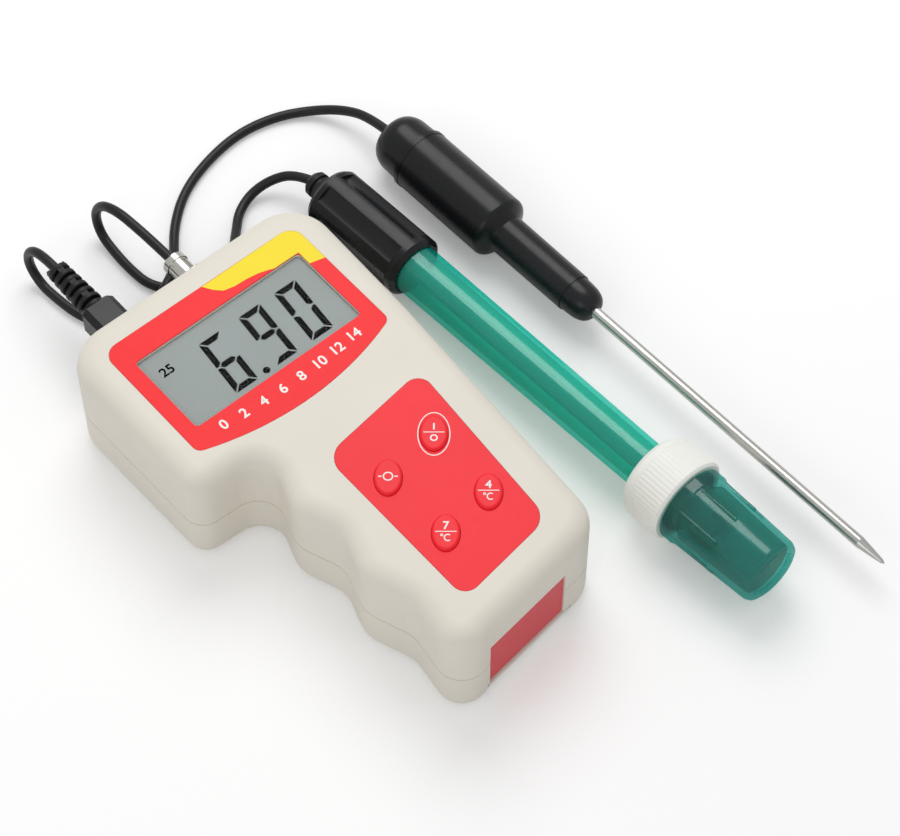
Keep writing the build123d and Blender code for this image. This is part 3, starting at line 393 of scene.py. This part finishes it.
def newTree(name):
    material = bpy.data.materials.new(name)
    material.use_nodes = True
    tree = material.node_tree
    shader = tree.nodes["Principled BSDF"]
    shader.inputs["Specular IOR Level"].default_value = surfaceSettings["specular"]
    place = tree.nodes.new("ShaderNodeTexCoord")
    return material, tree, shader, place


def addSpread(tree, shader, place, colour, spread, roughness, grain, bump, stretch=(1, 1, 1)):
    mapping = tree.nodes.new("ShaderNodeMapping")
    mapping.inputs["Scale"].default_value = stretch
    tree.links.new(place.outputs["Object"], mapping.inputs["Vector"])
    broad = tree.nodes.new("ShaderNodeTexNoise")
    broad.inputs["Scale"].default_value = surfaceSettings["broadGrain"]
    broad.inputs["Detail"].default_value = surfaceSettings["broadDetail"]
    fine = tree.nodes.new("ShaderNodeTexNoise")
    fine.inputs["Scale"].default_value = grain
    fine.inputs["Detail"].default_value = surfaceSettings["fineDetail"]
    tree.links.new(place.outputs["Object"], broad.inputs["Vector"])
    tree.links.new(mapping.outputs["Vector"], fine.inputs["Vector"])
    tone = tree.nodes.new("ShaderNodeValToRGB")
    low = [channel * (1 - spread) for channel in colour[:3]]
    high = [min(1, channel * (1 + spread)) for channel in colour[:3]]
    tone.color_ramp.elements[0].position = surfaceSettings["toneRange"][0]
    tone.color_ramp.elements[0].color = (*low, 1)
    tone.color_ramp.elements[1].position = surfaceSettings["toneRange"][1]
    tone.color_ramp.elements[1].color = (*high, 1)
    tree.links.new(broad.outputs["Fac"], tone.inputs["Fac"])
    tree.links.new(tone.outputs["Color"], shader.inputs["Base Color"])
    sheen = tree.nodes.new("ShaderNodeMapRange")
    sheen.inputs["To Min"].default_value = roughness[0]
    sheen.inputs["To Max"].default_value = roughness[1]
    tree.links.new(fine.outputs["Fac"], sheen.inputs["Value"])
    tree.links.new(sheen.outputs["Result"], shader.inputs["Roughness"])
    relief = tree.nodes.new("ShaderNodeBump")
    relief.inputs["Strength"].default_value = bump
    relief.inputs["Distance"].default_value = surfaceSettings["bumpDepth"]
    tree.links.new(fine.outputs["Fac"], relief.inputs["Height"])
    tree.links.new(relief.outputs["Normal"], shader.inputs["Normal"])


def plasticFinish(name, settings):
    material, tree, shader, place = newTree(name)
    shader.inputs["Specular IOR Level"].default_value = settings.get("specular", surfaceSettings["specular"])
    addSpread(tree, shader, place, screenColour(*settings["colour"]), settings["spread"], settings["roughness"],
              settings["grain"], settings["bump"])
    return material


def metalFinish(name, settings):
    material, tree, shader, place = newTree(name)
    shader.inputs["Metallic"].default_value = 1.0
    addSpread(tree, shader, place, screenColour(*settings["colour"]), settings["spread"], settings["roughness"],
              settings["grain"], surfaceSettings["metalBump"], settings["stretch"])
    return material


def tintFinish(name, settings):
    # tinted clear plastic: a glossy coloured skin, partly see-through, whose shadow is tinted too
    material, tree, shader, place = newTree(name)
    addSpread(tree, shader, place, screenColour(*settings["colour"]), settings["spread"], settings["roughness"],
              settings["grain"], 0.0)
    through = tree.nodes.new("ShaderNodeBsdfTransparent")
    through.inputs["Color"].default_value = screenColour(*settings["tint"])
    mix = tree.nodes.new("ShaderNodeMixShader")
    mix.inputs["Fac"].default_value = settings["clearness"]
    tree.links.new(shader.outputs[0], mix.inputs[1])
    tree.links.new(through.outputs[0], mix.inputs[2])
    gloss = tree.nodes.new("ShaderNodeBsdfGlossy")
    gloss.inputs["Roughness"].default_value = settings["coatRoughness"]
    coat = tree.nodes.new("ShaderNodeMixShader")
    coat.inputs["Fac"].default_value = settings["coat"]
    tree.links.new(mix.outputs[0], coat.inputs[1])
    tree.links.new(gloss.outputs[0], coat.inputs[2])
    tree.links.new(coat.outputs[0], tree.nodes["Material Output"].inputs["Surface"])
    return material


def paneFinish(name, settings):
    # a thin clear pane: straight-through light and a weak reflection
    material, tree, shader, place = newTree(name)
    tree.nodes.remove(shader)
    output = tree.nodes["Material Output"]
    mix = tree.nodes.new("ShaderNodeMixShader")
    through = tree.nodes.new("ShaderNodeBsdfTransparent")
    shine = tree.nodes.new("ShaderNodeBsdfGlossy")
    mix.inputs["Fac"].default_value = settings["reflection"]
    smudge = tree.nodes.new("ShaderNodeTexNoise")
    smudge.inputs["Scale"].default_value = settings["grain"]
    spread = tree.nodes.new("ShaderNodeMapRange")
    spread.inputs["To Min"].default_value = settings["roughness"][0]
    spread.inputs["To Max"].default_value = settings["roughness"][1]
    tree.links.new(place.outputs["Object"], smudge.inputs["Vector"])
    tree.links.new(smudge.outputs["Fac"], spread.inputs["Value"])
    tree.links.new(spread.outputs["Result"], shine.inputs["Roughness"])
    tree.links.new(through.outputs[0], mix.inputs[1])
    tree.links.new(shine.outputs[0], mix.inputs[2])
    tree.links.new(mix.outputs[0], output.inputs["Surface"])
    return material


finishes = {name: plasticFinish(name, settings) for name, settings in finishSettings.items()}
finishes.update({name: metalFinish(name, settings) for name, settings in metalSettings.items()})
finishes.update({name: tintFinish(name, settings) for name, settings in tintSettings.items()})
finishes["clearPane"] = paneFinish("clearPane", paneSettings)

nodeFinishes = {
    "casePlastic": ["top_shell", "bottom_shell", "battery_door"],
    "redLabel": ["display_label"],
    "keypadRed": ["keypad_overlay", "key_power", "key_cal", "key_four", "key_seven"],
    "endRed": ["end_label"],
    "clearPane": ["display_lens"],
    "lcdGrey": ["lcd_glass"],
    "darkPlastic": ["lcd_frame", "contact_block", "probe_jack", "tip_seal", "main_chip", "board_parts",
                    "switch_bodies", "plunger_power", "plunger_cal", "plunger_four", "plunger_seven",
                    "thermistor"],
    "softBlack": ["zebra_strips", "battery_foam", "bottle_oring", "probe_plug_relief", "electrode_boot"],
    "boardGreen": ["main_board"],
    "screwSteel": ["board_screws", "case_screws", "battery_contacts"],
    "batteryCase": ["battery"],
    "nickel": ["bnc_jack", "bnc_jack_nut", "bnc_plug", "bnc_coupling", "probe_plug_pin"],
    "insulator": ["bnc_jack_insulator"],
    "goldContact": ["bnc_jack_contact", "bnc_plug_pin"],
    "glossBlack": ["probe_plug_housing", "electrode_cap", "probe_handle_cap", "probe_handle", "probe_nose"],
    "tealTube": ["electrode_tube"],
    "tealBottle": ["storage_bottle"],
    "innerGlass": ["glass_electrode"],
    "whiteNut": ["collar_nut"],
    "probeSteel": ["probe_stem"],
    "leadBlack": ["lead_ties"],
}


def paint(obj, finish):
    obj.data.materials.clear()
    obj.data.materials.append(finishes[finish])


for finish, names in nodeFinishes.items():
    for name in names:
        paint(nodes[name], finish)
paint(probeLead, "leadBlack")
paint(electrodeLead, "leadBlack")
print("finishes on")

# Printed marks: plates a hair thick, on the labels, the keys and the display's glass
printDepth = 0.05


def addPrism(shape, outline, low, high):
    lower = [shape.verts.new(mm(x, y, low)) for x, y in outline]
    upper = [shape.verts.new(mm(x, y, high)) for x, y in outline]
    shape.faces.new(lower[::-1])
    shape.faces.new(upper)
    for index in range(len(outline)):
        after = (index + 1) % len(outline)
        shape.faces.new((lower[index], lower[after], upper[after], upper[index]))


def addRing(shape, outer, inner, low, high, closed=True):
    rows = [[shape.verts.new(mm(x, y, z)) for x, y in line]
            for line, z in ((outer, low), (outer, high), (inner, high), (inner, low))]
    count = len(outer)
    for index in range(count if closed else count - 1):
        after = (index + 1) % count
        for row, nextRow in zip(rows, rows[1:] + rows[:1]):
            shape.faces.new((row[index], row[after], nextRow[after], nextRow[index]))
    if not closed:
        for index in (0, count - 1):
            shape.faces.new([row[index] for row in rows])


def ellipsePoints(halfWidth, halfLength, centre=(0, 0), start=0, end=360, count=48):
    steps = count if end - start == 360 else count + 1
    angles = [math.radians(start + (end - start) * step / count) for step in range(steps)]
    return [(centre[0] + halfWidth * math.cos(a), centre[1] + halfLength * math.sin(a)) for a in angles]


def addLettering(shape, text, height, place, low):
    # generic numbers only; made a mesh before their place is applied
    data = bpy.data.curves.new("lettering", "FONT")
    data.body = text
    data.size = height * millimetre / 0.7
    data.align_x = "CENTER"
    data.align_y = "CENTER"
    data.offset = 0.03 * height * millimetre
    data.extrude = 0.5 * printDepth * millimetre
    holder = collect(bpy.data.objects.new("lettering", data))
    bpy.context.view_layer.update()
    mesh = bpy.data.meshes.new_from_object(holder.evaluated_get(bpy.context.evaluated_depsgraph_get()))
    mesh.transform(place @ Matrix.Translation((0, 0, (low + 0.5 * printDepth) * millimetre)))
    shape.from_mesh(mesh)
    bpy.data.objects.remove(holder)
    bpy.data.meshes.remove(mesh)


def spot(x, y, turn=0.0):
    return Matrix.Translation(mm(x, y, 0)) @ Matrix.Rotation(math.radians(turn), 4, "Z")


def makePiece(name, shape, finish, body):
    bmesh.ops.remove_doubles(shape, verts=shape.verts, dist=1e-7)
    bmesh.ops.recalc_face_normals(shape, faces=shape.faces)
    mesh = bpy.data.meshes.new(name)
    shape.to_mesh(mesh)
    shape.free()
    piece = collect(bpy.data.objects.new(name, mesh))
    paint(piece, finish)
    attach(piece, body)
    return piece


def sizes(node):
    low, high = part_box(node)
    return [value / millimetre for value in low], [value / millimetre for value in high]


# Strain relief of the temperature plug: rings joined by webs, each pair turned a quarter on from the last
reliefSettings = {
    "count": 7,
    "share": 0.56,
    "web": (0.9, 1.5),
    "core": 1.5,
    "radii": (3.55, 2.95),
    "rim": 0.22,
}


def repeatTree(name, material):
    # copies the incoming shape along a line, smaller and turned a step further each time
    tree = bpy.data.node_groups.new(name, "GeometryNodeTree")
    face = tree.interface
    face.new_socket("Geometry", in_out="INPUT", socket_type="NodeSocketGeometry")
    face.new_socket("Count", in_out="INPUT", socket_type="NodeSocketInt")
    for label in ("Spacing", "End Scale", "Turn"):
        face.new_socket(label, in_out="INPUT", socket_type="NodeSocketFloat")
    face.new_socket("Geometry", in_out="OUTPUT", socket_type="NodeSocketGeometry")
    nodesOf, link = tree.nodes, tree.links.new
    source = nodesOf.new("NodeGroupInput")
    target = nodesOf.new("NodeGroupOutput")
    line = nodesOf.new("GeometryNodeMeshLine")
    step = nodesOf.new("ShaderNodeCombineXYZ")
    index = nodesOf.new("GeometryNodeInputIndex")
    last = nodesOf.new("ShaderNodeMath")
    last.operation = "SUBTRACT"
    last.inputs[1].default_value = 1
    share = nodesOf.new("ShaderNodeMath")
    share.operation = "DIVIDE"
    taper = nodesOf.new("ShaderNodeMapRange")
    taper.inputs["To Min"].default_value = 1.0
    angle = nodesOf.new("ShaderNodeMath")
    angle.operation = "MULTIPLY"
    rotation = nodesOf.new("ShaderNodeCombineXYZ")
    scale = nodesOf.new("ShaderNodeCombineXYZ")
    scale.inputs["Y"].default_value = 1.0
    place = nodesOf.new("GeometryNodeInstanceOnPoints")
    real = nodesOf.new("GeometryNodeRealizeInstances")
    dress = nodesOf.new("GeometryNodeSetMaterial")
    dress.inputs["Material"].default_value = material
    link(source.outputs["Count"], line.inputs["Count"])
    link(source.outputs["Spacing"], step.inputs["Y"])
    link(step.outputs[0], line.inputs["Offset"])
    link(source.outputs["Count"], last.inputs[0])
    link(index.outputs[0], share.inputs[0])
    link(last.outputs[0], share.inputs[1])
    link(share.outputs[0], taper.inputs["Value"])
    link(source.outputs["End Scale"], taper.inputs["To Max"])
    link(index.outputs[0], angle.inputs[0])
    link(source.outputs["Turn"], angle.inputs[1])
    link(angle.outputs[0], rotation.inputs["Y"])
    link(taper.outputs["Result"], scale.inputs["X"])
    link(taper.outputs["Result"], scale.inputs["Z"])
    link(line.outputs["Mesh"], place.inputs["Points"])
    link(source.outputs["Geometry"], place.inputs["Instance"])
    link(rotation.outputs[0], place.inputs["Rotation"])
    link(scale.outputs[0], place.inputs["Scale"])
    link(place.outputs["Instances"], real.inputs["Geometry"])
    link(real.outputs["Geometry"], dress.inputs["Geometry"])
    link(dress.outputs["Geometry"], target.inputs["Geometry"])
    return tree


def discPoints(profile, steps):
    angles = [2 * math.pi * k / steps for k in range(steps)]
    return [[(radius * math.cos(a), along, radius * math.sin(a)) for a in angles] for along, radius in profile]


def addTurned(shape, profile, steps=40):
    # a closed round body about the Y axis, from (place along, radius) pairs
    rows = [[shape.verts.new(mm(*point)) for point in row] for row in discPoints(profile, steps)]
    for row, nextRow in zip(rows[:-1], rows[1:]):
        for index in range(steps):
            after = (index + 1) % steps
            shape.faces.new((row[index], nextRow[index], nextRow[after], row[after]))
    shape.faces.new(rows[0])
    shape.faces.new(rows[-1][::-1])


def makeRelief(settings):
    low, high = sizes("probe_plug_relief")
    length = high[1] - low[1]
    axisX, axisZ = 0.5 * (low[0] + high[0]), 0.5 * (low[2] + high[2])
    spacing = length / settings["count"]
    thick = settings["share"] * spacing
    first, last = settings["radii"]
    unit = bmesh.new()
    rim = settings["rim"]
    addTurned(unit, [(0, 1.0), (0, first - rim), (rim, first), (thick - rim, first), (thick, first - rim),
                     (thick, 1.0)])
    webWidth, webReach = settings["web"]
    for side in (-1, 1):
        near, far = sorted((side * webReach, side * (first - 0.35)))
        section = ((near, -webWidth), (far, -webWidth), (far, webWidth), (near, webWidth))
        corners = [(x, y, z) for y in (thick - 0.3, spacing + 0.3) for x, z in section]
        points = [unit.verts.new(mm(*corner)) for corner in corners]
        for face in ((0, 1, 2, 3), (7, 6, 5, 4), (0, 4, 5, 1), (1, 5, 6, 2), (2, 6, 7, 3), (3, 7, 4, 0)):
            unit.faces.new([points[corner] for corner in face])
    bmesh.ops.recalc_face_normals(unit, faces=unit.faces)
    mesh = bpy.data.meshes.new("reliefUnit")
    unit.to_mesh(mesh)
    unit.free()
    holder = collect(bpy.data.objects.new("reliefUnit", mesh))
    modifier = holder.modifiers.new("repeat", "NODES")
    modifier.node_group = repeatTree("reliefRepeat", finishes["softBlack"])
    values = {
        "Count": settings["count"],
        "Spacing": spacing * millimetre,
        "End Scale": last / first,
        "Turn": 0.5 * math.pi,
    }
    for item in modifier.node_group.interface.items_tree:
        if item.in_out == "INPUT" and item.name in values:
            modifier[item.identifier] = values[item.name]
    bpy.context.view_layer.update()
    rings = bpy.data.meshes.new_from_object(holder.evaluated_get(bpy.context.evaluated_depsgraph_get()))
    bpy.data.objects.remove(holder)
    whole = bmesh.new()
    whole.from_mesh(rings)
    core = settings["core"]
    addTurned(whole, [(0, core + 0.5), (length - 0.3, core), (length, core - 0.2)])
    for vertex in whole.verts:
        vertex.co += mm(axisX, low[1], axisZ)
    limit = high[1] * millimetre
    trimmed = [face for face in whole.faces if all(vertex.co.y > limit + 1e-6 for vertex in face.verts)]
    bmesh.ops.delete(whole, geom=trimmed, context="FACES")
    for vertex in whole.verts:
        vertex.co.y = min(vertex.co.y, limit)
    relief = makePiece("plug_relief", whole, "softBlack", "meter")
    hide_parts("probe_plug_relief")


makeRelief(reliefSettings)
print("strain relief made")

# Display face and its digits
digitSettings = {
    "base": (-11.8, 26.0),
    "pitch": (0.0, 12.3, 23.4),
    "width": 6.7,
    "height": 17.1,
    "stroke": 1.65,
    "gap": 0.28,
    "slant": 5.6,
    "value": ("acdefg", "abcdfg", "abcdef"),
    "point": (9.7, 0.6, 0.95),
    "small": ("25", 2.6, (-20.4, 42.0)),
}


def segmentOutlines(settings):
    w, h, t, g = settings["width"], settings["height"], settings["stroke"], settings["gap"]
    m = 0.5 * h
    upper = {
        "a": [(g, h), (w - g, h), (w - t - g, h - t), (t + g, h - t)],
        "f": [(0, h - g), (t, h - t - g), (t, m + 0.5 * t + 0.2), (0.5 * t, m + g), (0, m + g)],
        "b": [(w, h - g), (w - t, h - t - g), (w - t, m + 0.5 * t + 0.2), (w - 0.5 * t, m + g), (w, m + g)],
    }
    mirrored = {"a": "d", "f": "e", "b": "c"}
    outlines = dict(upper)
    outlines.update({mirrored[name]: [(x, h - y) for x, y in points] for name, points in upper.items()})
    outlines["g"] = [(0.5 * t + g, m), (t + g, m + 0.5 * t), (w - t - g, m + 0.5 * t), (w - 0.5 * t - g, m),
                     (w - t - g, m - 0.5 * t), (t + g, m - 0.5 * t)]
    return outlines


def makeDisplay(settings):
    low, high = sizes("lcd_glass")
    face = bmesh.new()
    corners = [(low[0], low[1]), (high[0], low[1]), (high[0], high[1]), (low[0], high[1])]
    addPrism(face, corners, high[2], high[2] + printDepth)
    makePiece("display_face", face, "lcdGrey", "meter")
    lean = math.tan(math.radians(settings["slant"]))
    outlines = segmentOutlines(settings)
    baseX, baseY = settings["base"]
    digits = bmesh.new()
    start, end = high[2] + printDepth, high[2] + 2 * printDepth
    for shift, lit in zip(settings["pitch"], settings["value"]):
        for name in lit:
            addPrism(digits, [(baseX + shift + x + lean * y, baseY + y) for x, y in outlines[name]], start, end)
    pointX, pointY, pointRadius = settings["point"]
    middle = (baseX + pointX, baseY + pointY)
    addPrism(digits, ellipsePoints(pointRadius, pointRadius, middle, count=24), start, end)
    text, height, place = settings["small"]
    addLettering(digits, text, height, spot(*place), start)
    makePiece("display_digits", digits, "printDark", "meter")


makeDisplay(digitSettings)
print("display made")

# Label: a plain yellow field round the window's far right corner, and a plain scale along the bowed edge
labelSettings = {
    "fieldEdge": [
        (0.8, 55.6), (2.4, 53.0), (4.2, 51.2), (7.0, 50.5),
        (10.4, 50.3), (13.8, 49.8), (16.6, 48.9), (17.8, 48.35),
    ],
    "fieldFoot": (43.9, 42.8),
    "cornerRound": 4.0,
    "scale": ["0", "2", "4", "6", "8", "10", "12", "14"],
    "scaleHeight": 2.7,
    "scaleSpan": 40.0,
    "scaleDrop": 3.6,
    "scaleBow": (2.6, 1.3),
}


def makeLabelPrints(settings):
    low, high = sizes("display_label")
    lensLow, lensHigh = sizes("display_lens")
    windowRight, windowTop = lensHigh[0] + 0.1, lensHigh[1] + 0.1
    right, top, turn = high[0], high[1], settings["cornerRound"]
    corner = ellipsePoints(turn, turn, (right - turn, top - turn), 0, 90, 10)
    nearWindow, nearSide = settings["fieldFoot"]
    outline = settings["fieldEdge"] + [(windowRight, windowTop), (windowRight, nearWindow)]
    outline += [(right, nearSide)] + corner
    field = bmesh.new()
    addPrism(field, outline, high[2], high[2] + printDepth)
    makePiece("label_field", field, "labelYellow", "meter")
    marks = bmesh.new()
    bow, lift = settings["scaleBow"]
    count = len(settings["scale"]) - 1
    for index, number in enumerate(settings["scale"]):
        x = settings["scaleSpan"] * (index / count - 0.5)
        drop = bow * (1 - (x / right) ** 2)
        y = lensLow[1] - settings["scaleDrop"] - drop + lift
        addLettering(marks, number, settings["scaleHeight"], spot(x, y), high[2])
    makePiece("label_scale", marks, "printWhite", "meter")


makeLabelPrints(labelSettings)
print("label printed")

# Key legends, in each key's own plan axes
keySettings = {
    "turn": -40.6,
    "ring": (3.95, 6.15, 0.26),
    "divider": (2.5, 0.22),
    "digitHeight": 2.1,
    "digitPlace": (0, 1.55),
    # round marks: middle, outer radii, inner radii, facets
    "powerRing": ((0, -1.6), (0.95, 0.95), (0.58, 0.58), 32),
    "powerBar": (-0.2, 0.7, 0.2, 2.5),
    "dialRing": ((0, 0), (1.25, 1.25), (0.92, 0.92), 32),
    "dialArm": (1.5, 2.3, 0.16),
    "degreeRing": ((-0.95, -0.95), (0.36, 0.36), (0.16, 0.16), 20),
    "letterArc": ((0.45, -1.65), (0.95, 1.0), (0.65, 0.7), 24),
    "letterOpening": (50, 310),
}


def makeKeyPrints(settings):
    turn = settings["turn"]

    def keySpot(name):
        low, high = sizes(f"key_{name}")
        return 0.5 * (low[0] + high[0]), 0.5 * (low[1] + high[1]), high[2]

    def turned(points, x, y):
        c, s = math.cos(math.radians(turn)), math.sin(math.radians(turn))
        return [(x + c * u - s * v, y + s * u + c * v) for u, v in points]

    def addMark(shape, mark, key, start=0, end=360):
        x, y, top = key
        middle, outer, inner, count = mark
        lines = [turned(ellipsePoints(*radii, middle, start, end, count), x, y) for radii in (outer, inner)]
        addRing(shape, *lines, top, top + printDepth, closed=end - start == 360)

    def addBar(shape, corners, key):
        x, y, top = key
        addPrism(shape, turned(corners, x, y), top, top + printDepth)

    half, thick = settings["divider"]
    bar = [(-half, -0.5 * thick), (half, -0.5 * thick), (half, 0.5 * thick), (-half, 0.5 * thick)]
    power, cal = keySpot("power"), keySpot("cal")
    overlayTop = sizes("keypad_overlay")[1][2]
    width, length, line = settings["ring"]
    ring = bmesh.new()
    addMark(ring, ((0, 0), (width, length), (width - line, length - line), 48), (*power[:2], overlayTop))
    makePiece("key_ring", ring, "printWhite", "meter")

    legends = {name: bmesh.new() for name in ("power", "cal", "four", "seven")}
    left, low, right, high = settings["powerBar"]
    addBar(legends["power"], bar, power)
    addBar(legends["power"], [(left, low), (right, low), (right, high), (left, high)], power)
    addMark(legends["power"], settings["powerRing"], power)
    addMark(legends["cal"], settings["dialRing"], cal)
    near, far, thin = settings["dialArm"]
    for side in (-1, 1):
        start, end = near * side, far * side
        addBar(legends["cal"], [(start, -thin), (end, -thin), (end, thin), (start, thin)], cal)
    for name, number in (("four", "4"), ("seven", "7")):
        key = keySpot(name)
        x, y, top = key
        addBar(legends[name], bar, key)
        place = turned([settings["digitPlace"]], x, y)[0]
        addLettering(legends[name], number, settings["digitHeight"], spot(*place, turn), top)
        addMark(legends[name], settings["degreeRing"], key)
        addMark(legends[name], settings["letterArc"], key, *settings["letterOpening"])
    for name, shape in legends.items():
        makePiece(f"legend_{name}", shape, "printWhite", f"{name}_key")


makeKeyPrints(keySettings)
print("keys printed")
